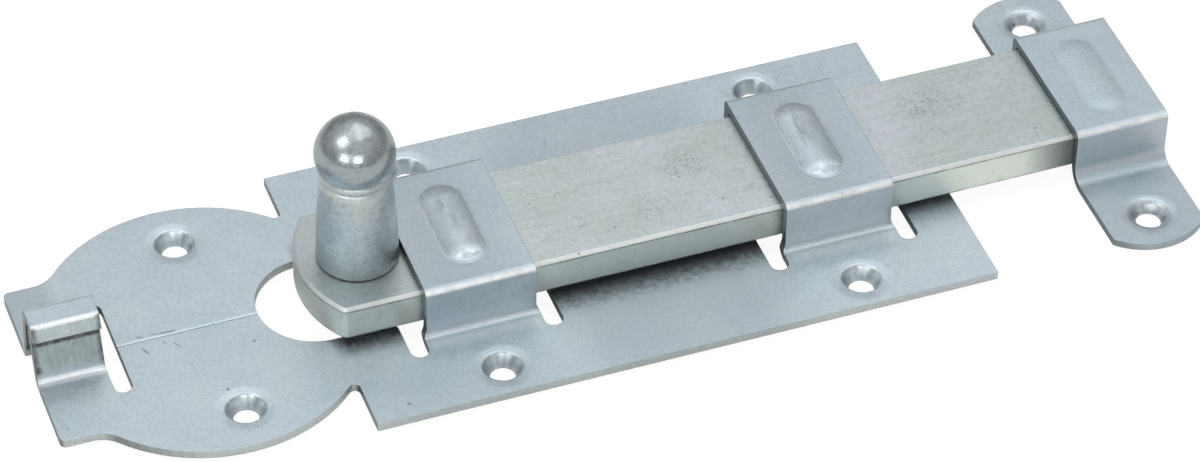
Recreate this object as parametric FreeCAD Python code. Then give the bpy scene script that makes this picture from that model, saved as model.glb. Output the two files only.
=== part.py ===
import FreeCAD, Part
import os
from math import acos, atan2, ceil, cos, hypot, pi, radians, sin, sqrt, tan

V = FreeCAD.Vector

# Flat slide bolt. The origin is the centre of the plate's four-screw pattern, on the face that
# lies against the door. X runs along the bar towards the keeper, Y across it, Z away from the
# door. Everything is in millimetres.

# Mounting plate: one blank of sheet steel, cut, and pulled together as its bridges fold up
sheet = 1.6
plate_width = 64.0
plate_left = 56.55
plate_right = 55.2
plate_screws_x = 65.0
plate_screws_y = 51.5
seam_gap = 0.06
seam_edge_radius = 0.35

# Lobe with two screws, and the tail behind it
lobe_radius = 27.2
lobe_arc_offset = 2.55
lobe_setback = 20.75
lobe_screw_lead = 1.3
lobe_screws_y = 42.3
notch_radius = 1.0
tail_reach = 29.7
tail_width = 37.3
tail_fillet = 5.5
tail_corner = 1.0

# Dimpled screw holes: a countersink pressed into the sheet, its round hole starting a little
# below the back face
hole_diameter = 4.5
hole_drop = 0.4
countersink_diameter = 6.9
dimple_depth = 1.1
dimple_wall = 0.85
rim_radius = 0.6

# Guides: two straps folded out of the plate, with a relief slot on each side of their feet
guide_spacing = 65.0
guide_width = 19.6
guide_side_clearance = 0.8
guide_foot_flare = 0.5
guide_flare_height = 1.8
relief_slot_width = 3.3
relief_slot_run = 4.45
foot_radius = 0.95
bend_outer_radius = 1.25
bend_inner_radius = 0.25

# Stiffening beads pressed up in the straps
bead_length = 20.4
bead_width = 8.0
bead_height = 0.85
bead_blend_radius = 1.6

# Window in the plate under the knob
window_radius = 10.3
window_reach = 11.15
window_corner = 1.2

# Padlock loop: two tabs folded up at the tail, the far one hooked over the near one
loop_width = 11.7
loop_slot_width = 3.1
loop_slot_reach = 11.0
loop_height = 10.9
loop_far_foot = 4.6
loop_far_top = 2.9
loop_near_foot = 4.15
loop_near_top = 1.2
loop_lap_gap = 0.12
loop_lip_height = 2.5
loop_lip_lean = 28.0
loop_top_radius = 1.1
loop_foot_radius = 0.9
loop_notch_radius = 0.8

# Bar
bar_width = 25.0
bar_thickness = 7.0
bar_lift = 1.2
bar_tip_radius = 20.3
bar_edge_bevel = 0.5
bar_tip_reach = 10.6
bar_engagement = 12.75
bar_top_clearance = 0.2

# Knob: a turned cone and ball, riveted through the bar
knob_base_radius = 7.05
knob_neck_radius = 6.1
knob_neck_height = 18.0
knob_ball_radius = 6.9
knob_ball_height = 22.9
knob_edge_radius = 0.35
knob_guide_gap = 0.2
spigot_radius = 4.0
spigot_clearance = 0.04
peened_radius = 5.3
peened_thickness = 0.9

# Keeper: a separate strap for the frame of the door
keeper_sheet = 1.4
keeper_width = 17.2
keeper_gap = 22.3
keeper_side_clearance = 0.25
keeper_tip_y = 34.4
keeper_end_radius = 12.0
keeper_screws_y = 53.6
keeper_foot_radius = 2.6
keeper_bead_height = 0.4
keeper_bead_blend_radius = 4.0
keeper_dimple_depth = 0.8
keeper_rim_radius = 1.5

# Places worked out from the sizes above
guide_left_x = -guide_spacing / 2
guide_right_x = guide_spacing / 2
slot_inner = guide_width / 2 + guide_foot_flare
slot_outer = slot_inner + relief_slot_width
guide_wall_y = bar_width / 2 + guide_side_clearance + sheet
guide_foot_y = guide_wall_y + foot_radius
relief_slot_reach = guide_wall_y + relief_slot_run
bar_bottom_z = sheet + bar_lift
bar_top_z = bar_bottom_z + bar_thickness
guide_top_z = bar_top_z + bar_top_clearance + sheet
lobe_x = -plate_left - lobe_setback
tail_x = lobe_x - tail_reach
loop_slot_left = tail_x + loop_width
loop_slot_right = loop_slot_left + loop_slot_width
loop_tuck_z = loop_height - loop_lap_gap
window_x = guide_left_x - slot_outer - window_reach
knob_x = guide_left_x - guide_width / 2 - knob_base_radius - knob_guide_gap
keeper_left_x = plate_right + keeper_gap
keeper_x = keeper_left_x + keeper_width / 2
keeper_wall_y = bar_width / 2 + keeper_side_clearance + keeper_sheet
keeper_top_z = bar_top_z + bar_top_clearance + keeper_sheet
bar_left_x = knob_x - bar_tip_reach
bar_right_x = keeper_left_x + bar_engagement

# How far a cutter runs past what it cuts, and the widest turn of one straight band in an arc
past = 1.0
band_turn = pi / 9


def arc_edge(centre, radius, start, end, place):
    """Arc from one angle to another; place turns flat coordinates into a point in space."""
    angles = (start, (start + end) / 2, end)
    points = [place(centre[0] + radius * cos(a), centre[1] + radius * sin(a)) for a in angles]
    return Part.Arc(*points).toShape()


def rounded_line(points, radii, place):
    """Edges of a bent line whose inner corners are rounded by tangent arcs."""
    edges = []
    last = points[0]
    for i, radius in enumerate(radii):
        before, corner, after = points[i], points[i + 1], points[i + 2]
        back = (before[0] - corner[0], before[1] - corner[1])
        ahead = (after[0] - corner[0], after[1] - corner[1])
        back = (back[0] / hypot(*back), back[1] / hypot(*back))
        ahead = (ahead[0] / hypot(*ahead), ahead[1] / hypot(*ahead))
        half = acos(back[0] * ahead[0] + back[1] * ahead[1]) / 2
        run = radius / tan(half)
        middle = (back[0] + ahead[0], back[1] + ahead[1])
        middle = (middle[0] / hypot(*middle), middle[1] / hypot(*middle))
        reach = radius / sin(half)
        centre = (corner[0] + middle[0] * reach, corner[1] + middle[1] * reach)
        start = (corner[0] + back[0] * run, corner[1] + back[1] * run)
        end = (corner[0] + ahead[0] * run, corner[1] + ahead[1] * run)
        nearest = (centre[0] - middle[0] * radius, centre[1] - middle[1] * radius)
        if hypot(start[0] - last[0], start[1] - last[1]) > 1e-6:
            edges.append(Part.makeLine(place(*last), place(*start)))
        edges.append(Part.Arc(place(*start), place(*nearest), place(*end)).toShape())
        last = end
    edges.append(Part.makeLine(place(*last), place(*points[-1])))
    return edges


def closed_face(edges):
    return Part.Face(Part.Wire(Part.sortEdges(edges)[0]))


def in_bands(edges, widest=band_turn):
    """The same outline with each arc struck in straight bands that turn by no more than the widest."""
    struck = []
    for edge in edges:
        if edge.Curve.TypeId == "Part::GeomCircle":
            turn = edge.LastParameter - edge.FirstParameter
            points = edge.discretize(ceil(turn / widest) + 1)
            struck += [Part.makeLine(a, b) for a, b in zip(points, points[1:])]
        else:
            struck.append(edge)
    return struck


def offset_line(points, distance):
    """The same bent line moved sideways, its corners mitred; left of the run is positive."""
    directions = []
    for a, b in zip(points, points[1:]):
        length = hypot(b[0] - a[0], b[1] - a[1])
        directions.append(((b[0] - a[0]) / length, (b[1] - a[1]) / length))
    moved = [(points[0][0] - directions[0][1] * distance, points[0][1] + directions[0][0] * distance)]
    for corner, d, e in zip(points[1:], directions, directions[1:]):
        scale = distance / (1 + d[0] * e[0] + d[1] * e[1])
        moved.append((corner[0] - (d[1] + e[1]) * scale, corner[1] + (d[0] + e[0]) * scale))
    end = directions[-1]
    moved.append((points[-1][0] - end[1] * distance, points[-1][1] + end[0] * distance))
    return moved


def bent_sheet(points, face_radii, back_radii, thickness, x0, x1):
    """Sheet bent along a line in Y and Z, its back face at the right of the line, from x0 to x1."""
    def place(y, z):
        return V(x0, y, z)

    back = offset_line(points, -thickness)
    edges = rounded_line(points, face_radii, place)
    edges += rounded_line(back, back_radii, place)
    edges.append(Part.makeLine(place(*points[0]), place(*back[0])))
    edges.append(Part.makeLine(place(*points[-1]), place(*back[-1])))
    return closed_face(edges).extrude(V(x1 - x0, 0, 0))


def box_between(x0, x1, y0, y1, z0, z1):
    return Part.makeBox(x1 - x0, y1 - y0, z1 - z0, V(x0, y0, z0))


def through_slot(x0, x1, reach, thickness):
    """Cutter for a slot across the plate with round ends at y = -reach and +reach."""
    radius = (x1 - x0) / 2
    middle = (x0 + x1) / 2
    bottom = -past
    height = thickness + 2 * past
    slot = box_between(x0, x1, radius - reach, reach - radius, bottom, bottom + height)
    for y in (radius - reach, reach - radius):
        slot = slot.fuse(Part.makeCylinder(radius, height, V(middle, y, bottom)))
    return slot


def dimple_line(x, y, thickness, rim):
    """Half section of a dimple's inner face above its hole: the cone, and a bevel for a rolled rim."""
    def place(r, z):
        return V(x + r, y, z)

    hole = hole_diameter / 2
    cone = countersink_diameter / 2
    rise = thickness + hole_drop
    turn = pi - atan2(rise, cone - hole)
    rim = min(rim, 0.8 * hypot(cone - hole, rise) * tan(turn / 2))
    mouth = cone + rim / tan(turn / 2)
    line = [(hole, -hole_drop), (cone, thickness), (mouth + past, thickness)]
    side, rounding = rounded_line(line, [rim], place)[:2]
    return [side.Vertexes[0].Point] + rounding.discretize(2)


def dimpled_hole(sheet_metal, x, y, thickness, depth, rim):
    """Press one dimple into a flat sheet and pierce its screw hole."""
    def place(r, z):
        return V(x + r, y, z)

    def spun(points):
        return Part.Face(Part.makePolygon(points + points[:1])).revolve(V(x, y, 0), V(0, 0, 1), 360)

    inner = dimple_line(x, y, thickness, rim)
    foot = hole_diameter / 2 + dimple_wall
    slope = (countersink_diameter - hole_diameter) / 2 / (thickness + hole_drop)
    root = foot + slope * (depth + thickness / 2)
    boss = spun([place(0, -depth), place(foot, -depth), place(root, thickness / 2), place(0, thickness / 2)])
    above = thickness + past
    mouth = inner[-1].x - x
    cutter = spun([place(0, -depth - past), place(hole_diameter / 2, -depth - past)] + inner
                  + [place(mouth, above), place(0, above)])
    return sheet_metal.fuse(boss).cut(cutter)


def bead_profile(half_width, height, blend, depth, top_z, place):
    """Half section of a bead: a crown arc and a tangent blend arc, depth below the sheet's face."""
    total = (half_width ** 2 + height ** 2) / (2 * height)
    crown = total - blend
    lean = atan2(half_width, total - height)
    crown_z = top_z + height - total + blend
    edge_z = top_z + blend
    edges = [arc_edge((0, crown_z), crown - depth, pi / 2, pi / 2 - lean, place)]
    edges.append(arc_edge((half_width, edge_z), blend + depth, 1.5 * pi - lean, 1.5 * pi, place))
    return edges


def add_bead(strap, x, top_z, thickness, height, blend):
    """Press a long bead up in the top of a strap, keeping the sheet's thickness."""
    half_width = bead_width / 2
    straight = bead_length / 2 - half_width

    def place(r, z):
        return V(x + r, straight, z)

    edges = in_bands(bead_profile(half_width, height, blend, 0, top_z, place))
    edges += in_bands(bead_profile(half_width, height, blend, thickness, top_z, place), pi / 2)
    edges.append(Part.makeLine(place(0, top_z + height), place(0, top_z + height - thickness)))
    edges.append(Part.makeLine(place(half_width, top_z), place(half_width, top_z - thickness)))
    section = closed_face(edges)
    end = section.revolve(V(x, straight, 0), V(0, 0, 1), 180)
    side = section.extrude(V(0, -2 * straight, 0))
    shell = side.fuse(side.mirror(V(x, 0, 0), V(1, 0, 0)))
    shell = shell.fuse(end).fuse(end.mirror(V(x, 0, 0), V(0, 1, 0)))
    plug = box_between(x - half_width, x + half_width, -straight, straight, top_z - thickness, top_z)
    for y in (-straight, straight):
        plug = plug.fuse(Part.makeCylinder(half_width, thickness, V(x, y, top_z - thickness)))
    return strap.cut(plug).fuse(shell)


def strap_line(wall_y, foot_y, top_z, thickness):
    """Outer face of a strap in Y and Z, from its near foot over the top to its far foot."""
    half = [(foot_y, thickness), (wall_y, thickness), (wall_y, top_z)]
    return [(-y, z) for y, z in half] + half[::-1]


def guide(x):
    """One guide: a strap with flared feet and a bead."""
    root_y = (guide_foot_y + relief_slot_reach) / 2
    line = strap_line(guide_wall_y, root_y, guide_top_z, sheet)
    face_radii = [foot_radius, bend_outer_radius, bend_outer_radius, foot_radius]
    back_radii = [foot_radius + sheet, bend_inner_radius, bend_inner_radius, foot_radius + sheet]
    strap = bent_sheet(line, face_radii, back_radii, sheet, x - slot_inner, x + slot_inner)
    for side in (-1, 1):
        strap = strap.cut(flare_cutter(x, side))
    return add_bead(strap, x, guide_top_z, sheet, bead_height, bead_blend_radius)


def flare_cutter(x, side):
    """What is cut from a guide's edge above its foot, so that the foot widens into the plate."""
    def place(u, z):
        return V(x + side * u, -guide_foot_y, z)

    radius = (guide_foot_flare ** 2 + guide_flare_height ** 2) / (2 * guide_foot_flare)
    edge = guide_width / 2
    knee_z = sheet + guide_flare_height
    sweep = acos((radius - guide_foot_flare) / radius)
    above = guide_top_z + past
    edges = [arc_edge((edge + radius, knee_z), radius, pi, pi + sweep, place)]
    corners = [(slot_inner, sheet), (slot_inner + past, sheet), (slot_inner + past, above),
               (edge, above), (edge, knee_z)]
    for a, b in zip(corners, corners[1:]):
        edges.append(Part.makeLine(place(*a), place(*b)))
    return closed_face(edges).extrude(V(0, 2 * guide_foot_y, 0))


def blank_outline():
    """Flat outline of the plate: rectangle, notch, lobe arc, fillet and tail, mirrored in Y."""
    def place(x, y):
        return V(x, y, 0)

    half_width = plate_width / 2
    tail_y = tail_width / 2
    lobe = (lobe_x, lobe_arc_offset)
    notch_x = -plate_left - notch_radius
    notch_y = lobe[1] + sqrt((lobe_radius + notch_radius) ** 2 - (notch_x - lobe_x) ** 2)
    fillet_y = tail_y + tail_fillet
    fillet_x = lobe_x - sqrt((lobe_radius + tail_fillet) ** 2 - (fillet_y - lobe[1]) ** 2)
    to_notch = atan2(notch_y - lobe[1], notch_x - lobe_x)
    to_fillet = atan2(fillet_y - lobe[1], fillet_x - lobe_x)
    edges = [
        Part.makeLine(place(plate_right, 0), place(plate_right, half_width)),
        Part.makeLine(place(plate_right, half_width), place(-plate_left, half_width)),
        Part.makeLine(place(-plate_left, half_width), place(-plate_left, notch_y)),
        arc_edge((notch_x, notch_y), notch_radius, 0, to_notch - pi, place),
        arc_edge(lobe, lobe_radius, to_notch, to_fillet, place),
        arc_edge((fillet_x, fillet_y), tail_fillet, to_fillet - pi, -pi / 2, place),
        Part.makeLine(place(fillet_x, tail_y), place(tail_x + tail_corner, tail_y)),
        arc_edge((tail_x + tail_corner, tail_y - tail_corner), tail_corner, pi / 2, pi, place),
        Part.makeLine(place(tail_x, tail_y - tail_corner), place(tail_x, 0)),
    ]
    edges += [edge.mirror(V(0, 0, 0), V(0, 1, 0)) for edge in edges]
    return closed_face(edges)


def guide_opening(x):
    """Cutter under one guide: its two relief slots and the gap that its metal left."""
    cutter = box_between(x - slot_outer + past, x + slot_outer - past, -guide_foot_y, guide_foot_y,
                         -past, sheet + past)
    for x0, x1 in ((x - slot_outer, x - slot_inner), (x + slot_inner, x + slot_outer)):
        cutter = cutter.fuse(through_slot(x0, x1, relief_slot_reach, sheet))
    return cutter


def window():
    """Cutter for the round-ended window that runs into the first guide's opening."""
    edge_x = guide_left_x - slot_outer
    height = sheet + 2 * past
    cutter = box_between(window_x, edge_x + past, -window_radius, window_radius, -past, sheet + past)
    cutter = cutter.fuse(Part.makeCylinder(window_radius, height, V(window_x, 0, -past)))
    cutter = cutter.fuse(guide_opening(guide_left_x)).removeSplitter()
    corners = []
    for edge in cutter.Edges:
        ends = [vertex.Point for vertex in edge.Vertexes]
        upright = len(ends) == 2 and abs(ends[0].z - ends[1].z) > sheet
        if upright and abs(ends[0].x - edge_x) < 1e-4 and abs(abs(ends[0].y) - window_radius) < 1e-4:
            corners.append(edge)
    return cutter.makeFillet(window_corner, corners)


def seam(x0, x1):
    """Cutter for the butt seam of the two halves, its top edges rounded."""
    def place(y, z):
        return V(x0, y, z)

    half = seam_gap / 2
    knee = sheet - seam_edge_radius
    edges = []
    for side in (-1, 1):
        def mirrored(y, z, side=side):
            return place(side * y, z)
        edges.append(Part.makeLine(mirrored(half, -past), mirrored(half, knee)))
        edges.append(arc_edge((half + seam_edge_radius, knee), seam_edge_radius, pi, pi / 2, mirrored))
        edges.append(Part.makeLine(mirrored(half + seam_edge_radius, sheet),
                                   mirrored(half + seam_edge_radius, sheet + past)))
    wide = half + seam_edge_radius
    edges.append(Part.makeLine(place(-half, -past), place(half, -past)))
    edges.append(Part.makeLine(place(-wide, sheet + past), place(wide, sheet + past)))
    return closed_face(edges).extrude(V(x1 - x0, 0, 0))


def lip_y(z):
    """Outer face of the loop's leaning lip at one height; it clears the near tab's end."""
    lean = radians(loop_lip_lean)
    return loop_near_top + loop_lap_gap + sheet / cos(lean) - (z - loop_tuck_z) * tan(lean)


def loop_far_tab():
    """Far tab of the padlock loop: up, over the top and down as a lip outside the near tab."""
    top_z = sheet + loop_height
    lip_z = top_z - loop_lip_height
    root_y = loop_far_foot + loop_foot_radius + past
    points = [(-lip_y(lip_z), lip_z), (-lip_y(top_z), top_z), (loop_far_top, top_z),
              (loop_far_foot, sheet), (root_y, sheet)]
    face_radii = [loop_top_radius, loop_top_radius, loop_foot_radius]
    back_radii = [bend_inner_radius, bend_inner_radius, loop_foot_radius + sheet]
    return bent_sheet(points, face_radii, back_radii, sheet, tail_x, loop_slot_left)


def loop_near_tab():
    """Near tab of the padlock loop, its end tucked under the far tab."""
    root_y = loop_near_foot + loop_foot_radius + past
    points = [(-root_y, sheet), (-loop_near_foot, sheet), (-loop_near_top, loop_tuck_z)]
    return bent_sheet(points, [loop_foot_radius], [loop_foot_radius + sheet], sheet,
                      tail_x, loop_slot_left)


def loop_opening():
    """Cutters for the tail slot, the gap under the loop and the notch at its near foot."""
    near = -(loop_near_foot + loop_foot_radius)
    far = loop_far_foot + loop_foot_radius
    gap = box_between(tail_x - past, loop_slot_left + past, near, far, -past, sheet + past)
    gap = gap.fuse(through_slot(loop_slot_left, loop_slot_right, loop_slot_reach, sheet))
    notch = Part.makeCylinder(loop_notch_radius, sheet + 2 * past, V(tail_x, near, -past))
    return gap.fuse(notch)


def base_plate():
    plate = blank_outline().extrude(V(0, 0, sheet))
    cutters = [window(), guide_opening(guide_right_x), loop_opening()]
    cutters.append(seam(loop_slot_right - past, window_x))
    cutters.append(seam(guide_left_x + slot_outer - past, guide_right_x - slot_outer + past))
    cutters.append(seam(guide_right_x + slot_outer - past, plate_right + past))
    plate = plate.cut(cutters)
    places = [(x, y) for x in (-plate_screws_x / 2, plate_screws_x / 2)
              for y in (-plate_screws_y / 2, plate_screws_y / 2)]
    places += [(lobe_x + lobe_screw_lead, y) for y in (-lobe_screws_y / 2, lobe_screws_y / 2)]
    for x, y in places:
        plate = dimpled_hole(plate, x, y, sheet, dimple_depth, rim_radius)
    plate = plate.fuse([guide(guide_left_x), guide(guide_right_x), loop_far_tab(), loop_near_tab()])
    return plate.removeSplitter()


def bolt_bar():
    """Flat bar with a rounded tip and bevelled edges, pierced for the knob's spigot."""
    def place(x, y):
        return V(x, y, bar_bottom_z)

    half = bar_width / 2
    centre = (bar_left_x + bar_tip_radius, 0)
    lean = atan2(half, sqrt(bar_tip_radius ** 2 - half ** 2))
    shoulder_x = centre[0] - sqrt(bar_tip_radius ** 2 - half ** 2)
    edges = [arc_edge(centre, bar_tip_radius, pi - lean, pi + lean, place)]
    corners = [(shoulder_x, -half), (bar_right_x, -half), (bar_right_x, half), (shoulder_x, half)]
    for a, b in zip(corners, corners[1:]):
        edges.append(Part.makeLine(place(*a), place(*b)))
    bar = closed_face(edges).extrude(V(0, 0, bar_thickness))
    bevelled = [edge for edge in bar.Edges if edge.BoundBox.XMin < bar_right_x - bar_thickness]
    bar = bar.makeChamfer(bar_edge_bevel, bevelled)
    return bar.cut(Part.makeCylinder(spigot_radius, bar_thickness, V(knob_x, 0, bar_bottom_z)))


def knob():
    """Turned knob: cone, short neck, ball, and a spigot riveted over in a flat head below."""
    def place(r, z):
        return V(knob_x + r, 0, bar_top_z + z)

    shank = spigot_radius - spigot_clearance
    edge = knob_edge_radius
    ball_start = knob_ball_height - sqrt(knob_ball_radius ** 2 - knob_neck_radius ** 2)
    head_z = -bar_thickness - peened_thickness
    corners = [(0, head_z), (peened_radius, head_z), (peened_radius, -bar_thickness),
               (shank, -bar_thickness), (shank, 0), (knob_base_radius - edge, 0),
               (knob_base_radius, edge), (knob_neck_radius, knob_neck_height),
               (knob_neck_radius, ball_start)]
    edges = [Part.makeLine(place(*a), place(*b)) for a, b in zip(corners, corners[1:])]
    start = atan2(ball_start - knob_ball_height, knob_neck_radius)
    edges.append(arc_edge((0, knob_ball_height), knob_ball_radius, start, pi / 2, place))
    edges.append(Part.makeLine(place(0, knob_ball_height + knob_ball_radius), place(0, head_z)))
    return closed_face(in_bands(edges)).revolve(V(knob_x, 0, 0), V(0, 0, 1), 360)


def keeper_plan():
    """Flat outline of the keeper: straight sides and arched ends."""
    def place(x, y):
        return V(x, y, -past)

    half = keeper_width / 2
    centre_y = keeper_tip_y - keeper_end_radius
    shoulder_y = centre_y + sqrt(keeper_end_radius ** 2 - half ** 2)
    lean = atan2(shoulder_y - centre_y, half)
    edges = [arc_edge((keeper_x, centre_y), keeper_end_radius, lean, pi - lean, place),
             arc_edge((keeper_x, -centre_y), keeper_end_radius, -lean, lean - pi, place)]
    for x in (keeper_x - half, keeper_x + half):
        edges.append(Part.makeLine(place(x, -shoulder_y), place(x, shoulder_y)))
    return closed_face(edges)


def keeper():
    line = strap_line(keeper_wall_y, keeper_tip_y + past, keeper_top_z, keeper_sheet)
    face_radii = [keeper_foot_radius, bend_outer_radius, bend_outer_radius, keeper_foot_radius]
    back_foot = keeper_foot_radius + keeper_sheet
    back_radii = [back_foot, bend_inner_radius, bend_inner_radius, back_foot]
    strap = bent_sheet(line, face_radii, back_radii, keeper_sheet, keeper_left_x,
                       keeper_left_x + keeper_width)
    strap = strap.common(keeper_plan().extrude(V(0, 0, keeper_top_z + 2 * past)))
    strap = add_bead(strap, keeper_x, keeper_top_z, keeper_sheet, keeper_bead_height,
                     keeper_bead_blend_radius)
    for y in (-keeper_screws_y / 2, keeper_screws_y / 2):
        strap = dimpled_hole(strap, keeper_x, y, keeper_sheet, keeper_dimple_depth, keeper_rim_radius)
    return strap.removeSplitter()


def main():
    os.makedirs("parts", exist_ok=True)
    pieces = {"base_plate": base_plate, "bolt_bar": bolt_bar, "knob": knob, "keeper": keeper}
    for name, make in pieces.items():
        shape = make()
        if len(shape.Solids) != 1 or not shape.isValid():
            raise ValueError(name + " is not one valid solid")
        shape.Solids[0].exportStep("parts/" + name + ".step")
        box = shape.BoundBox
        print(name, "volume", round(shape.Volume, 1), "x", round(box.XMin, 2), round(box.XMax, 2),
              "y", round(box.YMin, 2), round(box.YMax, 2), "z", round(box.ZMin, 2), round(box.ZMax, 2))


main()
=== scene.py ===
import math

import bmesh
import bpy
from bpy.props import FloatProperty, FloatVectorProperty, PointerProperty
from mathutils import Matrix, Vector


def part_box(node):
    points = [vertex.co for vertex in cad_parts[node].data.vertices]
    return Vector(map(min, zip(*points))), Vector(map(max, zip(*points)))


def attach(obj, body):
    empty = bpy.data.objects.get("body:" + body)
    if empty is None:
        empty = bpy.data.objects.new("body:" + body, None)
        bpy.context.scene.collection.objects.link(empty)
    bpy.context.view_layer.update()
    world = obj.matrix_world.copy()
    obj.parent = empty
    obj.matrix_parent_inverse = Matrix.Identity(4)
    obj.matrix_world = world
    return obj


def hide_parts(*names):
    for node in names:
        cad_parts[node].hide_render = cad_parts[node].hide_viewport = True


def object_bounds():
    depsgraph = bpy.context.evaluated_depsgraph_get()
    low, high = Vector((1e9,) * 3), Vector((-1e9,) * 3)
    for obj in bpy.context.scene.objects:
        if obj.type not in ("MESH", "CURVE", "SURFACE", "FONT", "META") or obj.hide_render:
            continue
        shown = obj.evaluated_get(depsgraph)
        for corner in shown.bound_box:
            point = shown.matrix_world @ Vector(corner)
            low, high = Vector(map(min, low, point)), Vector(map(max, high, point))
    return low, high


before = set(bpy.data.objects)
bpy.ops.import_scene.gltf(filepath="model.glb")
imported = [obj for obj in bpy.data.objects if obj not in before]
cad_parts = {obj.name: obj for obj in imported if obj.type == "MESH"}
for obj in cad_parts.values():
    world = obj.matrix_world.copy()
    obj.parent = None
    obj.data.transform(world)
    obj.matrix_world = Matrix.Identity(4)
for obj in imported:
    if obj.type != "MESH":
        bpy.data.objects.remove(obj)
cad_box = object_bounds()

bl_info = {
    "name": "Slide Bolt",
    "version": (1, 0, 0),
    "blender": (4, 5, 0),
    "location": "View3D > Sidebar > Slide Bolt",
    "description": "Zinc-plated slide bolt with a folded base plate, a flat bar, "
                   "a turned knob and a keeper",
    "category": "Object",
}

MM = 0.001

# Sizes of the solids that the fine pieces follow, in millimetres
PLATE_TOP = 1.6
KEEPER_TOP = 1.4
GUIDE_TOP = 11.6
KEEPER_CROWN = 11.4
GUIDE_X = 32.5
KEEPER_X = 86.1
PLATE_HOLES = ((-32.5, -25.75), (-32.5, 25.75), (32.5, -25.75), (32.5, 25.75),
               (-76.0, -21.15), (-76.0, 21.15))
KEEPER_HOLES = ((KEEPER_X, -26.8), (KEEPER_X, 26.8))
HOLE_RADIUS = 2.25
HOLE_MOUTH = 3.45
HOLE_LAND = -0.4
BEAD_HALF_WIDTH = 4.0
BEAD_STRAIGHT = 6.2

# Linings, skins and burr that lie on the solids, in millimetres
SKIN_CLEAR = 0.05
DISH_RADIUS = 5.45
BEAD_LAP = 0.3
BEAD_SINK = 0.15
BEAD_LIFT = 0.02
BURR_RADIUS = 0.2
BURR_Y = 0.09
BURR_SINK = 0.14
SEAM_RUNS = ((-92.2, -67.5), (-18.9, 18.9), (46.1, 55.2))
FLAT_SPAN = 40.0

# Turned knob, in millimetres above the bar
BALL_RADIUS = 6.9
BALL_HEIGHT = 22.9
BALL_FOOT = 6.42
BALL_END = 88
SPIGOT_RADIUS = 3.96
HEAD_RADIUS = 4.75
HEAD_ROUNDING = 0.55
HEAD_FOOT = -7.9
HEAD_TOP = -7.0
BARREL_FOOT_RADIUS = 7.05
BARREL_SEAT = 6.6
BARREL_TAPER = 0.95
BARREL_CURVE = 1.25
BARREL_BULGE = 0.12
BARREL_START = 0.4
BARREL_END = 18.0
COLLAR = ((5.98, 18.15), (5.84, 18.3), (5.84, 18.45), (6.06, 18.65), (6.26, 18.85), (6.32, 19.15),
          (6.30, 19.5), (6.18, 19.75), (6.08, 19.95), (6.12, 20.18))

# Steps round the turned and drawn shapes
KNOB_STEPS = 96
BALL_STEPS = 30
BARREL_STEPS = 12
DIMPLE_STEPS = 64
ROLL_STEPS = 8
BEAD_STEPS = 28
BEAD_RINGS = 16
BURR_STEPS = 12
ROUNDING_STEPS = 4

# Points closer than this are made one, in metres
MERGE_DISTANCE = 1e-6
FINE_MERGE_DISTANCE = 1e-7

# Lamps: turn from the camera and height in degrees, distance and size in metres
LAMPS = (("overhead", 160, 75, 0.9, (0.8, 0.8)), ("left_high", -67, 55, 0.8, (0.35, 0.35)),
         ("front_left", -30, 24, 0.7, (0.26, 0.18)), ("front_right", 8, 24, 0.7, (0.26, 0.18)))

# Studio
SENSOR_WIDTH = 36
CAMERA_REACH = 10
HORIZON_GLOW = 0.35
ZENITH_GLOW = 0.80
ZENITH_START = 0.8
EVEN_LIGHT = (0.5, 0.5, 0.5, 1)
WHITE = (1, 1, 1, 1)
FLOOR_REACH = 3.0
FLOOR_GAP = 0.02
FLOOR_SHADOW = 0.16
FLOOR_WHITE = 0.93


class SlideBoltFinish(bpy.types.PropertyGroup):
    """Colours and surface detail of the zinc plating."""

    plate_colour: FloatVectorProperty(
        name="Plate colour", description="Zinc on the folded base plate",
        subtype="COLOR", size=3, min=0, max=1, default=(0.485, 0.556, 0.602))
    bar_colour: FloatVectorProperty(
        name="Bar colour", description="Zinc on the drawn flat bar",
        subtype="COLOR", size=3, min=0, max=1, default=(0.495, 0.545, 0.550))
    knob_colour: FloatVectorProperty(
        name="Knob colour", description="Zinc on the turned knob",
        subtype="COLOR", size=3, min=0, max=1, default=(0.56, 0.605, 0.62))
    keeper_colour: FloatVectorProperty(
        name="Keeper colour", description="Zinc on the keeper strap",
        subtype="COLOR", size=3, min=0, max=1, default=(0.475, 0.545, 0.59))
    # The scuff colour also darkens the painted shade and painted shadows that the marks add.
    soot_and_shade_colour: FloatVectorProperty(
        name="Scuff colour", description="Dark scuffs, pits and grease in the zinc",
        subtype="COLOR", size=3, min=0, max=1, default=(0.10, 0.11, 0.12))
    roughness: FloatProperty(
        name="Roughness", description="Mean roughness of the plating",
        subtype="FACTOR", min=0, max=1, default=0.45)
    edge_rounding: FloatProperty(
        name="Edge rounding", description="Radius of the softened sheet edges",
        subtype="DISTANCE", unit="LENGTH", min=0, max=0.001, default=0.00018)


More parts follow.
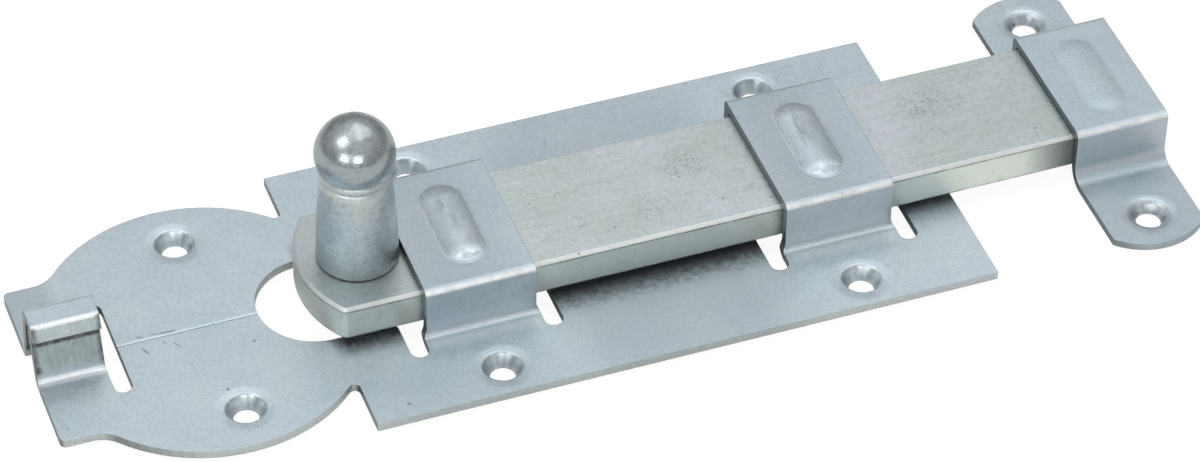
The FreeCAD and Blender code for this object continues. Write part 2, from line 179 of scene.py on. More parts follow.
class SlideBoltStudio(bpy.types.PropertyGroup):
    """Camera, lamps and floor."""

    azimuth: FloatProperty(
        name="View azimuth", description="Turn of the camera about the vertical, from the -Y side",
        subtype="ANGLE", unit="ROTATION", default=math.radians(-20.78))
    elevation: FloatProperty(
        name="View elevation",
        description="Height of the camera above the door's plane, as an angle",
        subtype="ANGLE", unit="ROTATION", default=math.radians(42.85))
    roll: FloatProperty(
        name="View roll", description="Turn of the camera about its own axis",
        subtype="ANGLE", unit="ROTATION", default=math.radians(1.09))
    distance: FloatProperty(
        name="View distance", description="Distance of the camera from the part's origin plane",
        subtype="DISTANCE", unit="LENGTH", min=0.1, default=0.83231)
    aim: FloatVectorProperty(
        name="Aim",
        description="Point that the camera looks at, right and up of the plate's centre",
        subtype="XYZ", unit="LENGTH", size=2, default=(-0.00542, -0.00120))
    lens: FloatProperty(
        name="Lens", description="Focal length of the camera in millimetres",
        min=10, max=400, default=144.36)
    overhead: FloatProperty(
        name="Overhead lamp", description="Power of the soft lamp above the part",
        unit="POWER", min=0, default=2.2)
    left: FloatProperty(
        name="Left lamp", description="Power of the soft lamp high on the left",
        unit="POWER", min=0, default=0.9)
    sides: FloatProperty(
        name="Front lamps", description="Power of each of the two soft lamps in front of the part",
        unit="POWER", min=0, default=0.65)
    floor_colour: FloatVectorProperty(
        name="Floor colour", description="Pale floor and backdrop",
        subtype="COLOR", size=3, min=0, max=1, default=(0.88, 0.88, 0.88))


# Shader helpers

def add_node(tree, kind, settings=None, inputs=None):
    """Node of one kind with its settings, and its inputs given as values or linked sockets."""
    made = tree.nodes.new(kind)
    for key, value in (settings or {}).items():
        setattr(made, key, value)
    for key, value in (inputs or {}).items():
        if isinstance(value, bpy.types.NodeSocket):
            tree.links.new(value, made.inputs[key])
        else:
            made.inputs[key].default_value = value
    return made


def emptied(owner):
    """Node tree of a new material or world, with nothing in it."""
    owner.use_nodes = True
    owner.node_tree.nodes.clear()
    return owner.node_tree


def calculate(tree, operation, *values):
    """Result of one maths operation."""
    made = add_node(tree, "ShaderNodeMath", {"operation": operation}, dict(enumerate(values)))
    return made.outputs[0]


def vector_maths(tree, operation, inputs, output="Vector"):
    """Result of one vector operation."""
    made = add_node(tree, "ShaderNodeVectorMath", {"operation": operation}, inputs)
    return made.outputs[output]


def blended(tree, share, first, second, blend_type="MIX"):
    """Colour between two colours."""
    settings = {"data_type": "RGBA", "blend_type": blend_type}
    made = add_node(tree, "ShaderNodeMix", settings, {0: share, 6: first, 7: second})
    return made.outputs[2]


def spread(tree, value, low, high, to_low=0.0, to_high=1.0):
    """Value taken from one range to another, and held there."""
    inputs = {0: value, 1: low, 2: high, 3: to_low, 4: to_high}
    return add_node(tree, "ShaderNodeMapRange", {"clamp": True}, inputs).outputs[0]


def fading(tree, value, full, none):
    """One up to the first value, falling to nothing at the second."""
    return spread(tree, value, full, none, 1.0, 0.0)


def within(tree, value, low, high, soft):
    """One inside a band of values, fading out over a soft margin at both ends."""
    rise = spread(tree, value, low - soft, low + soft)
    fall = fading(tree, value, high - soft, high + soft)
    return calculate(tree, "MULTIPLY", rise, fall)


def absolute(tree, value):
    """Size of a value without its sign."""
    return calculate(tree, "ABSOLUTE", value)


def larger(tree, first, second):
    """The larger one of two values."""
    return calculate(tree, "MAXIMUM", first, second)


def product(tree, *values):
    """All the values multiplied together."""
    result = values[0]
    for value in values[1:]:
        result = calculate(tree, "MULTIPLY", result, value)
    return result


def placed(tree, scale=(1, 1, 1)):
    """Object coordinates in millimetres, stretched along the axes."""
    coordinates = add_node(tree, "ShaderNodeTexCoord").outputs["Object"]
    inputs = {"Vector": coordinates, "Scale": [s / MM for s in scale]}
    return add_node(tree, "ShaderNodeMapping", None, inputs).outputs[0]


def split(tree, vector):
    """Three separate values of a vector."""
    return add_node(tree, "ShaderNodeSeparateXYZ", None, {0: vector}).outputs[:3]


def axes(tree):
    """Object coordinates as three separate values, in millimetres."""
    return split(tree, placed(tree))


def facing(tree):
    """Direction of the face itself, as three separate values."""
    return split(tree, add_node(tree, "ShaderNodeNewGeometry").outputs["True Normal"])


def local_plane(tree):
    """Offset in plan from the middle of a bead or a screw hole, in millimetres."""
    flat = add_node(tree, "ShaderNodeUVMap", {"uv_map": "flat"}).outputs[0]
    away = vector_maths(tree, "SUBTRACT", {0: flat, 1: (0.5, 0.5, 0.0)})
    return vector_maths(tree, "SCALE", {0: away, "Scale": FLAT_SPAN})


def noise(tree, vector, scale, detail=2.0, roughness=0.5, distortion=0.0):
    """Soft noise, with its scale in features per millimetre."""
    inputs = {"Vector": vector, "Scale": scale, "Detail": detail,
              "Roughness": roughness, "Distortion": distortion}
    return add_node(tree, "ShaderNodeTexNoise", None, inputs).outputs["Fac"]


def patches(tree, vector, pattern, least=0.0, most=1.0):
    """Patches of one noise pattern, from the least share to the most."""
    return spread(tree, noise(tree, vector, *pattern[:3]), *pattern[3:], least, most)


def hairlines(tree, vector, scale, width, share):
    """Thin wandering scratches, only on some patches."""
    lines = noise(tree, vector, scale, detail=1.0, roughness=0.4, distortion=0.6)
    away = absolute(tree, calculate(tree, "SUBTRACT", lines, 0.5))
    chosen = spread(tree, noise(tree, vector, scale * 1.7, detail=1.0), 1 - share, 1.05 - share)
    return product(tree, fading(tree, away, 0.0, width), chosen)


def pits(tree, vector, scale, size, share):
    """Small scattered dark pits, in a share of the cells."""
    settings = {"feature": "F1", "distance": "EUCLIDEAN"}
    cells = add_node(tree, "ShaderNodeTexVoronoi", settings, {"Vector": vector, "Scale": scale})
    spots = fading(tree, cells.outputs["Distance"], size * 0.4, size)
    parts = add_node(tree, "ShaderNodeSeparateColor", None, {0: cells.outputs["Color"]})
    return product(tree, spots, spread(tree, parts.outputs[0], 1 - share, 1.02 - share))


def scratch(tree, x, y, start, end, width):
    """One straight scratch in plan between two points, in millimetres."""
    run = (end[0] - start[0], end[1] - start[1])
    length = math.hypot(*run)
    run = (run[0] / length, run[1] / length)
    right = calculate(tree, "SUBTRACT", x, start[0])
    up = calculate(tree, "SUBTRACT", y, start[1])
    along = calculate(tree, "ADD", product(tree, right, run[0]), product(tree, up, run[1]))
    across = calculate(tree, "SUBTRACT", product(tree, up, run[0]), product(tree, right, run[1]))
    thin = fading(tree, absolute(tree, across), width * 0.3, width)
    return product(tree, thin, within(tree, along, 0.0, length, SCRATCH_FADE))


def tint(tree, look, colour, *shares):
    """Body colour drawn towards another one, by all the shares multiplied together."""
    look["body"] = blended(tree, product(tree, *shares), look["body"], colour)


def add_dirt(tree, look, *shares):
    """Soil and painted shade where the old share or the new ones multiplied together are the
    larger.
    """
    look["dirt"] = larger(tree, look["dirt"], product(tree, *shares))


def plated(tree, look, marks):
    """Clouded, mottled and frosted zinc with streaks along the metal's grain."""
    whole = placed(tree)
    clouds = noise(tree, whole, *CLOUDS)
    mottle = noise(tree, whole, *MOTTLE)
    frost = noise(tree, whole, *FROST)
    streaks = noise(tree, placed(tree, marks["grain"]), *STREAKS)
    clouding = spread(tree, clouds, *CAST_RANGE)
    cast = blended(tree, clouding, [*marks["cool"], 1], [*marks["warm"], 1])
    body = blended(tree, 1.0, [*look["colour"], 1], cast, "MULTIPLY")
    parts = ((clouds, 0.35, 0.65, marks["clouds"]), (mottle, 0.32, 0.68, marks["mottle"]),
             (frost, 0.32, 0.68, marks["frost"]), (streaks, 0.3, 0.7, marks["streaks"]))
    value = 1.0
    for pattern, low, high, amount in parts:
        change = spread(tree, pattern, low, high, -amount, amount)
        value = calculate(tree, "ADD", value, change)
    shade = add_node(tree, "ShaderNodeCombineColor", None, {0: value, 1: value, 2: value})
    look["body"] = blended(tree, 1.0, body, shade.outputs[0], "MULTIPLY")
    uneven = spread(tree, mottle, 0.3, 0.7, -UNEVEN_SHINE, UNEVEN_SHINE)
    look["shine"] = calculate(tree, "ADD", look["roughness"], uneven)
    look["height"] = calculate(tree, "ADD", product(tree, frost, FROST_RELIEF),
                               product(tree, streaks, marks["streak_relief"]))
    return whole


def soiled(tree, look, marks, whole):
    """Hairlines, small pits, specks, grey smudges, and painted shade in the crevices."""
    lines = hairlines(tree, whole, *HAIRLINES, marks["lines"])
    look["dirt"] = product(tree, lines, HAIRLINE_DIRT)
    large = pits(tree, whole, marks["pit_scale"], PIT_SIZE, marks["pits"])
    add_dirt(tree, look, large, PIT_DIRT)
    small = pits(tree, whole, SPECK_SCALE, SPECK_SIZE, marks["specks"])
    add_dirt(tree, look, small, SPECK_DIRT)
    add_dirt(tree, look, patches(tree, whole, SMUDGES), marks["smudge"])
    # Painted shade: darker where ambient occlusion finds nearby faces close round the surface
    if marks["crevice_shade"]:
        open_sky = add_node(tree, "ShaderNodeAmbientOcclusion", {"samples": SURFACE_SAMPLES},
                            {"Distance": CREVICE_SHADE_REACH * MM}).outputs["AO"]
        add_dirt(tree, look, fading(tree, open_sky, *CREVICE_SHADE), marks["crevice_shade"])


def zinc(name, colour, marks, finish, detail=None, rougher=0.0):
    """Plated steel with clouded colour, grain, soil, rounded edges and a piece's own marks."""
    material = bpy.data.materials.new(name)
    tree = emptied(material)
    look = {"colour": colour, "roughness": finish.roughness + rougher}
    whole = plated(tree, look, marks)
    soiled(tree, look, marks, whole)
    if detail:
        detail(tree, look)
    # Soil and painted shade both draw the body towards the scuff colour
    body = blended(tree, look["dirt"], look["body"], [*finish.soot_and_shade_colour, 1])
    shine = calculate(tree, "ADD", look["shine"], product(tree, look["dirt"], DIRT_ROUGHNESS))
    relief = calculate(tree, "SUBTRACT", look["height"], look["dirt"])
    bump = {"Strength": marks["relief"], "Distance": RELIEF_DEPTH * MM, "Height": relief}
    if marks["rounded"]:
        rounded = add_node(tree, "ShaderNodeBevel", {"samples": SURFACE_SAMPLES},
                           {"Radius": finish.edge_rounding})
        bump["Normal"] = rounded.outputs[0]
    normal = add_node(tree, "ShaderNodeBump", None, bump).outputs[0]
    if "dish" in look:
        dished = {"Strength": 1.0, "Distance": MM, "Height": look["dish"], "Normal": normal}
        normal = add_node(tree, "ShaderNodeBump", None, dished).outputs[0]
    shader = add_node(tree, "ShaderNodeBsdfPrincipled", None, {
        "Base Color": body, "Metallic": 1.0, "Roughness": shine, "Normal": normal})
    add_node(tree, "ShaderNodeOutputMaterial", None, {"Surface": shader.outputs[0]})
    return material


def finish_node(name, material):
    """CAD node with its material in every slot."""
    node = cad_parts[name]
    if not node.material_slots:
        node.data.materials.append(material)
    for held in node.material_slots:
        held.material = material


# Amounts of each pattern and mark, for each kind of metal
SHEET_MARKS = {"cool": (0.98, 0.995, 1.01), "warm": (1.01, 1, 0.99),
               "grain": (0.12, 1.6, 1.6), "clouds": 0.03, "mottle": 0.08, "frost": 0.11,
               "streaks": 0.015, "streak_relief": 0.1, "lines": 0.4, "pits": 0.05,
               "pit_scale": 0.4, "specks": 0.16, "smudge": 0.14, "relief": 0.5,
               "crevice_shade": 0.75, "rounded": True}
KEEPER_MARKS = {**SHEET_MARKS, "grain": (1.6, 0.12, 1.6), "mottle": 0.05, "frost": 0.07,
                "smudge": 0.08}
SKIN_MARKS = {**SHEET_MARKS, "crevice_shade": 0, "rounded": False}
BAR_MARKS = {**SHEET_MARKS, "cool": (0.965, 1, 0.97), "warm": (1.02, 0.99, 1.04),
             "grain": (0.04, 1.3, 1.3), "clouds": 0.04, "frost": 0.1, "streaks": 0.05,
             "streak_relief": 0.4, "lines": 0.46, "pits": 0.07, "pit_scale": 0.5,
             "specks": 0.22, "smudge": 0.34}
KNOB_MARKS = {"cool": (0.95, 1, 1.03), "warm": (1.01, 1, 0.95), "grain": (0.3, 0.3, 4),
              "clouds": 0.04, "mottle": 0.1, "frost": 0.1, "streaks": 0.12,
              "streak_relief": 0.7, "lines": 0.35, "pits": 0.55, "pit_scale": 1,
              "specks": 0.6, "smudge": 0.44, "relief": 0.6, "crevice_shade": 0.7, "rounded": False}

# Noise of the plating: features per millimetre, detail and roughness
CLOUDS = (0.07, 3, 0.55)
MOTTLE = (1.1, 5, 0.7)
FROST = (3.2, 3, 0.7)
STREAKS = (1, 4, 0.65)
BAR_SHADOW_SPECKLE = (0.7, 6, 0.8)
CONE_STREAKS = (1.2, 2, 0.6)

# Patches: the same three, then where a patch begins and is full
SMUDGES = (0.45, 6, 0.72, 0.58, 0.76)
RAW_GRIT = (3.6, 3, 0.8, 0.35, 0.65)
HIGHLIGHT_BREAKS = (0.6, 3, 0.6, 0.35, 0.6)
LOOP_STREAKS = (1, 4, 0.7, 0.35, 0.65)
LOOP_GAPS = (0.9, 4, 0.7, 0.3, 0.55)
SIDE_LINE_GAPS = (0.8, 3, 0.7, 0.35, 0.6)
CHAFING = (1.6, 4, 0.75, 0.52, 0.62)
CROWN_BLOTS = (0.45, 5, 0.7, 0.44, 0.6)
BEAD_GAPS = (0.5, 3, 0.7, 0.35, 0.62)
BEAD_SMEAR = (1, 5, 0.72, 0.4, 0.6)
HIGHLIGHT_FACETS = (0.55, 2, 0.5, 0.42, 0.6)

# Stretch of a pattern along the axes
GRIT_STRETCH = (0.8, 0.8, 1)
LOOP_STRETCH = (1.4, 1.4, 0.15)
BAR_STRETCH = (0.25, 1, 1)
SMEAR_STRETCH = (1.3, 0.22, 1)

# Size, darkness and relief of soil and grain
HAIRLINES = (0.045, 0.0012)
HAIRLINE_DIRT = 0.3
PIT_SIZE = 0.17
PIT_DIRT = 0.6
SPECK_SCALE = 1.3
SPECK_SIZE = 0.24
SPECK_DIRT = 0.32
SCRATCH_DIRT = 0.5
SCRATCH_FADE = 0.3
CREVICE_SHADE_REACH = 0.9
SURFACE_SAMPLES = 6
UNEVEN_SHINE = 0.08
DIRT_ROUGHNESS = 0.25
FROST_RELIEF = 0.6
RELIEF_DEPTH = 0.02
TURNING_RELIEF = 0.1
TURNING_RATE = 9
CREVICE_SHADE = (0.25, 0.62)
CAST_RANGE = (0.34, 0.66)

# Colours that the marks draw the zinc towards
# Painted light and shade among these: the cut-face shade, loop and strap highlights, light on
# walls, feet and bar sides, bar edge and bead-end highlights
PAINTED_SHADE_CUT = (0.13, 0.155, 0.16, 1)
RAW_DARK = (0.47, 0.5, 0.48, 1)
RAW_PALE = (0.76, 0.79, 0.77, 1)
LOOP_DARK = (0.31, 0.36, 0.34, 1)
LOOP_PALE = (0.5, 0.55, 0.52, 1)
LOOP_CREST_HIGHLIGHT = (0.95, 0.96, 0.95, 1)
DARK_PATCH_ZINC = (0.22, 0.26, 0.28, 1)
DARKER_ZINC = (0.2, 0.24, 0.26, 1)
PALE_ZINC = (0.66, 0.73, 0.77, 1)
PAINTED_LIGHT_FOOT = (0.9, 0.93, 0.94, 1)
STRAP_BEND_HIGHLIGHT = (0.97, 0.98, 0.99, 1)
STRAP_WALL_LIGHT = (0.9, 0.94, 0.95, 1)
LIT_BAR_SIDE = (0.86, 0.92, 0.86, 1)
BAR_EDGE_HIGHLIGHT = (0.95, 0.97, 0.96, 1)
BAR_TIP = (0.24, 0.27, 0.27, 1)
KNOB_BALL = (0.17, 0.205, 0.24, 1)
KNOB_FOOT = (0.2, 0.24, 0.23, 1)
CONE_DARK = (0.24, 0.27, 0.26, 1)
CONE_PALE = (0.9, 0.92, 0.87, 1)
BEAD_END_HIGHLIGHT = (0.97, 0.98, 0.98, 1)

# Shares of the marks
PALE_PATCH_SHARE = 0.16
KEEPER_FOOT_SHARE = 0.16
TAIL_CORNER_SHARE = 0.3
TAIL_PATCH_SHARE = 0.24
GUIDE_SHARE = 0.12
GUIDE_LEFT_SHARE = 0.2
LOOP_CREST_SHARE = 0.8
LOOP_LIP_SHADOW = 0.95
LOOP_MARGIN_DARK = 0.75
LOOP_NOTCH_SHADE = 0.85
LOOP_GAP_SHARES = (0.5, 1)
HIGHLIGHT_BREAK_SHARES = (0.6, 0.98)
BAR_SHADOW_THINNING = 0.6
BAR_EDGE_SHARE = 0.65
BAR_END_SHADE = 0.74
SIDE_LINE_GAP_SHARES = (0.25, 0.85)
SCUFF_DIRT = 0.5
CROWN_DIRT = 0.45
BALL_SHARE = 0.42
BARREL_FOOT_SHARE = 0.34
BEAD_GAP_SHARES = (0.1, 0.42)
STRIPE_DIRT = 0.46
END_HIGHLIGHT_SHARE = 0.45
END_HIGHLIGHT_ROUGHNESS = 0.05

# Directions of a face, from -1 to 1: ramps, and bands with a soft margin
SHADED_UPRIGHT = (0.15, 0.4)
SHADED_LEFT = (-0.8, -0.3)
RAW_UPRIGHT = (0.2, 0.4)
RAW_SIDEWAYS = (0.6, 0.85)
SHEET_FACE_UP = (0.8, 0.95)
STRAP_WALL_FRONT = (-0.7, -0.9)
STRAP_BEND_UP = (0.35, 0.85, 0.08)
LOOP_FRONT = (-0.3, -0.7)
LOOP_CREST_UP = (0.62, 0.92, 0.04)
GUIDE_TOP_UP = (0.5, 0.9)
BAR_UPRIGHT = (0.3, 0.5)
BAR_EDGE_UP = (0.45, 0.9, 0.1)
BAR_TOP_UP = (0.9, 0.98)

# Ramps between two values, and what they give at their ends
BESIDE_BAR_Y = (14, 34, 0.4, 0.2)
NEAR_SIDE_Y = (-5, 5, 0.07, -0.09)
NEAR_CORNER_Y = (-18, -24, 0, 0.25)
STRAP_WALL_X = (-30, 35, 0.1, 0.36)
LOOP_LIP_TOP_Z = (9.95, 10, 0.75, 0.6)
BAR_SHADOW_DEPTH = (-0.02, 0.44, 0, 0.92)
BAR_SHADOW_PAST_GUIDE_X = (43, 47, 1, 0.38)
BAR_SHADOW_AT_GUIDE_SHARES = (0, 1, 1, 0.25)
BAR_SHADOW_BY_KNOB_Y = (12.6, 16, 0.9, 0)
BAR_SIDE_Z = (3.4, 8.8, 1, 0.9)
BAR_TIP_X = (-50, -41, 0.3, 0)
BALL_SMOOTHNESS = (0, 1, -0.02, 0.16)
CONE_DARK_STREAKS = (0.5, 0.66, 0, 0.25)
CONE_PALE_STREAKS = (0.38, 0.56, 0.62, 0.1)
DISH = (3.5, 5.5, -0.1, 0)
BEAD_RIM = (3.75, 4.05, 0, 0.32)

# Ramps, and lengths in millimetres
PAST_LOBE_X = (-60, -59)
PAST_PLATE_X = (60, 61)
PALE_PATCH_Y = (-13, -20)
KEEPER_FOOT_Y = (-15, -17)
TAIL_CORNER_X = (-98, -101)
TAIL_CORNER_Y = (5, 8)
LOOP_WALL_Z = (2.2, 4)
LOOP_FRONT_Z = (2.5, 3.2)
LOOP_CREST_Z = (10.4, 10.7)
LOOP_LEFT_X = (-105.9, -106.7)
LOOP_RIGHT_X = (-96.3, -95.5)
LOOP_CORNER_X = (-105.7, -106.4)
GUIDE_TOP_X = (-60, -55)
GUIDE_TOP_Z = (8, 11)
FOOT_BEND_Z = (3, 2.4)
SHEET_PATCH_Z = (PLATE_TOP + 0.1, PLATE_TOP + 0.4)
SHEET_FACE_Z = (PLATE_TOP + 0.05, PLATE_TOP + 0.3)
RAW_FULL_BELOW = 0.1
RAW_NONE_ABOVE = 0.05
STRAP_BEND_FADE = 0.3
STRAP_WALL_START = 2.5
STRAP_WALL_FADE = 0.5
BAR_SHADOW_Y = (12.2, 18)
BAR_SHADOW_END = (0.9, 1)
BAR_SHADOW_BY_KNOB_DEPTH = (0.15, 0.55)
BAR_END_X = (68.5, 76.5)
CROWN_Z = (35.5, 39)
BALL_Z = (29.5, 31)
BARREL_FOOT_Z = (11, 16.5)
CONE_REACH = (3.2, 3.6)
BEAD_END_Y = (-8.6, -6.8)
BEAD_END_REACH = (2.6, 3.6)

# Bands, in millimetres: from, to and soft margin
BESIDE_BAR_X = (-19, 19, 6)
NEAR_CORNER_X = (-52, -24, 7)
PALE_PATCH_X = (45, 60, 5)
TAIL_PATCH_X = (-107, -95, 2)
TAIL_PATCH_Y = (-11.5, -6.5, 2.5)
LOOP_X = (-107.5, -94.9, 0.3)
LOOP_LIP_Z = (7.75, 9.95, 0.18)
LOOP_CORNER_Z = (2.9, 4.4, 0.4)
LEFT_GUIDE_X = (-43, -28, 5)
RIGHT_GUIDE_X = (22, 37, 5)
BAR_SHADOW_X = (-19.5, 56, 1)
BAR_SHADOW_AT_GUIDE_X = (21, 44, 0.8)
BAR_SHADOW_BY_KNOB_X = (-57, -45.5, 1.5)
UPPER_LINE_Z = (8.9, 9.14, 0.06)
LOWER_LINE_Z = (3.2, 3.48, 0.08)
BEAD_OUTLINE = (3.46, 3.78, 0.16)
STRIPE_ACROSS = (-1.5, 0.6, 0.7)
STRIPE_ALONG = (-2, 6.8, 1.6)

# Bands of painted light at the foot bends, across and along the plate, with their share
LIT_FOOT_BANDS = (((15.4, 18.2, 1.2), (-42.5, -22.5, 1), 0.5),
             ((15.4, 18.2, 1.2), (22.5, 42.5, 1), 0.5),
             ((4.1, 5.5, 0.3), (-107, -95.4, 1), 0.85))

# Bands of chafing on top of the bar, along and across it
BAR_SCUFFS = (((6.5, 14.5, 2), (-0.5, 6, 1.6)), ((52, 62, 2), (0, 7, 1.6)),
              ((-2, 3, 2), (-8, -5, 1.6)))

# Scratches on the sheet: two ends and half the width
SCRATCHES = (((-88.3, -1.9), (-87.6, -3.5), 0.3), ((-88.5, 1), (-87.4, 0.6), 0.3),
             ((-86, 0.8), (-84.5, 0.6), 0.2), ((-84.5, 0.6), (-81.9, 0.5), 0.34),
             ((-84.6, -1.4), (-84.1, -2.1), 0.2), ((-82.9, -2.3), (-82, -3.7), 0.2),
             ((-15, 17.6), (-10.5, 20.2), 0.06), ((-10.5, 20.2), (-7.9, 22.8), 0.06),
             ((-7.9, 22.8), (-6.6, 26.2), 0.05))


def painted_shade_on_left_walls(tree, look, share):
    """Painted shade: upright cut faces that look left are drawn darker than the plated face."""
    nx, _, nz = facing(tree)
    upright = fading(tree, absolute(tree, nz), *SHADED_UPRIGHT)
    tint(tree, look, PAINTED_SHADE_CUT, upright, fading(tree, nx, *SHADED_LEFT), share)


def raw_edges(tree, look, top, share):
    """Sheared edges of the sheet show a speckled, greener metal."""
    z = axes(tree)[2]
    nx, _, nz = facing(tree)
    upright = fading(tree, absolute(tree, nz), *RAW_UPRIGHT)
    sideways = spread(tree, absolute(tree, nx), *RAW_SIDEWAYS)
    low = fading(tree, z, top - RAW_FULL_BELOW, top + RAW_NONE_ABOVE)
    grit = patches(tree, placed(tree, GRIT_STRETCH), RAW_GRIT)
    raw = blended(tree, grit, RAW_DARK, RAW_PALE)
    tint(tree, look, raw, upright, larger(tree, sideways, low), share)


def painted_shade_and_light_patches(tree, look):
    """Painted shade beside the bar, darker sheet in the near left corner, and a painted light
    patch on the right.
    """
    x, y, z = axes(tree)
    from_bar = spread(tree, absolute(tree, y), *BESIDE_BAR_Y)
    near_side = calculate(tree, "ADD", from_bar, spread(tree, y, *NEAR_SIDE_Y))
    beside = product(tree, within(tree, x, *BESIDE_BAR_X), near_side)
    corner = product(tree, within(tree, x, *NEAR_CORNER_X), spread(tree, y, *NEAR_CORNER_Y))
    low = fading(tree, z, *SHEET_PATCH_Z)
    # painted shade on the sheet beside the bar; the near left corner is drawn darker too
    tint(tree, look, DARK_PATCH_ZINC, larger(tree, beside, corner), low)
    # painted light: a paler patch on the near sheet right of the right guide
    tint(tree, look, PALE_ZINC, within(tree, x, *PALE_PATCH_X),
         spread(tree, y, *PALE_PATCH_Y), low, PALE_PATCH_SHARE)


def painted_bend_highlights(tree, look, level):
    """Painted highlight, in broken patches, on the upper bends of a folded strap, and painted
    light on its near wall.
    """
    _, ny, nz = facing(tree)
    x, _, z = axes(tree)
    past_lobe = spread(tree, x, *PAST_LOBE_X)
    # painted highlight on the upper bends
    tint(tree, look, STRAP_BEND_HIGHLIGHT, within(tree, nz, *STRAP_BEND_UP),
         spread(tree, z, level, level + STRAP_BEND_FADE), past_lobe,
         patches(tree, placed(tree), HIGHLIGHT_BREAKS, *HIGHLIGHT_BREAK_SHARES))
    # painted light on the near wall
    tint(tree, look, STRAP_WALL_LIGHT, spread(tree, ny, *STRAP_WALL_FRONT),
         within(tree, z, STRAP_WALL_START, level + 1.0, STRAP_WALL_FADE), past_lobe,
         spread(tree, x, *STRAP_WALL_X))


def darker_keeper_foot(tree, look):
    """The keeper's near foot is drawn a little darker than its top."""
    x, y, _ = axes(tree)
    tint(tree, look, DARKER_ZINC, spread(tree, y, *KEEPER_FOOT_Y),
         spread(tree, x, *PAST_PLATE_X), KEEPER_FOOT_SHARE)


def loop_tone_and_painted_light(tree, look):
    """Greener front wall of the padlock loop drawn darker as painted shade, a painted highlight on
    its crest, a painted shadow under the lip, darker wall margins and painted shade in the notch
    at its left foot.
    """
    x, _, z = axes(tree)
    _, ny, nz = facing(tree)
    tab = within(tree, x, *LOOP_X)
    forward = spread(tree, ny, *LOOP_FRONT)
    streaks = patches(tree, placed(tree, LOOP_STRETCH), LOOP_STREAKS)
    green = blended(tree, streaks, LOOP_DARK, LOOP_PALE)
    # greener front wall, drawn darker there as painted shade
    tint(tree, look, green, tab, spread(tree, z, *LOOP_WALL_Z), forward,
         spread(tree, z, *LOOP_LIP_TOP_Z))
    # painted highlight along the crest
    tint(tree, look, LOOP_CREST_HIGHLIGHT, tab, spread(tree, z, *LOOP_CREST_Z),
         within(tree, nz, *LOOP_CREST_UP), LOOP_CREST_SHARE)
    front = product(tree, tab, forward, spread(tree, z, *LOOP_FRONT_Z))
    broken = patches(tree, placed(tree), LOOP_GAPS, *LOOP_GAP_SHARES)
    # painted shadow under the lip
    add_dirt(tree, look, front, within(tree, z, *LOOP_LIP_Z), broken, LOOP_LIP_SHADOW)
    margins = larger(tree, spread(tree, x, *LOOP_LEFT_X), spread(tree, x, *LOOP_RIGHT_X))
    # darker margins at the wall's left and right edges
    add_dirt(tree, look, front, margins, broken, LOOP_MARGIN_DARK)
    # painted shade in the notch at the wall's left foot
    add_dirt(tree, look, front, within(tree, z, *LOOP_CORNER_Z),
             spread(tree, x, *LOOP_CORNER_X), LOOP_NOTCH_SHADE)


def darker_guide_tops(tree, look):
    """Tops of the guides are drawn darker, and most of all on their left halves."""
    x, _, z = axes(tree)
    left = larger(tree, within(tree, x, *LEFT_GUIDE_X), within(tree, x, *RIGHT_GUIDE_X))
    dull = calculate(tree, "ADD", GUIDE_SHARE, product(tree, left, GUIDE_LEFT_SHARE))
    tint(tree, look, DARKER_ZINC, spread(tree, z, *GUIDE_TOP_Z), spread(tree, x, *GUIDE_TOP_X),
         spread(tree, facing(tree)[2], *GUIDE_TOP_UP), dull)


def tail_patches(tree, look, flat):
    """Painted shade on the far left corner of the tail, and painted light on the sheet before the
    loop.
    """
    x, y, _ = axes(tree)
    # painted shade on the tail's far left corner
    tint(tree, look, DARK_PATCH_ZINC, spread(tree, x, *TAIL_CORNER_X),
         spread(tree, y, *TAIL_CORNER_Y), TAIL_CORNER_SHARE, flat)
    # painted light on the sheet before the loop
    tint(tree, look, PALE_ZINC, within(tree, x, *TAIL_PATCH_X),
         within(tree, y, *TAIL_PATCH_Y), flat, TAIL_PATCH_SHARE)


def painted_bar_shadow(tree, look, flat):
    """Painted shadow, speckled, on the sheet along the bar's sides and beside the knob."""
    x, y, _ = axes(tree)
    sides = absolute(tree, y)
    speckled = noise(tree, placed(tree), *BAR_SHADOW_SPECKLE)
    reach = spread(tree, sides, *BAR_SHADOW_Y)
    thinning = calculate(tree, "SUBTRACT", speckled, product(tree, reach, BAR_SHADOW_THINNING))
    shadow_depth = spread(tree, thinning, *BAR_SHADOW_DEPTH)
    along_bar = product(tree, within(tree, x, *BAR_SHADOW_X), fading(tree, reach, *BAR_SHADOW_END))
    past_guide = spread(tree, x, *BAR_SHADOW_PAST_GUIDE_X)
    at_guide = spread(tree, within(tree, x, *BAR_SHADOW_AT_GUIDE_X), *BAR_SHADOW_AT_GUIDE_SHARES)
    # painted shadow along the bar's sides
    add_dirt(tree, look, along_bar, shadow_depth, flat, past_guide, at_guide)
    # painted shadow beside the knob
    by_knob = product(tree, within(tree, x, *BAR_SHADOW_BY_KNOB_X),
                      spread(tree, sides, *BAR_SHADOW_BY_KNOB_Y))
    add_dirt(tree, look, by_knob, spread(tree, speckled, *BAR_SHADOW_BY_KNOB_DEPTH), flat)


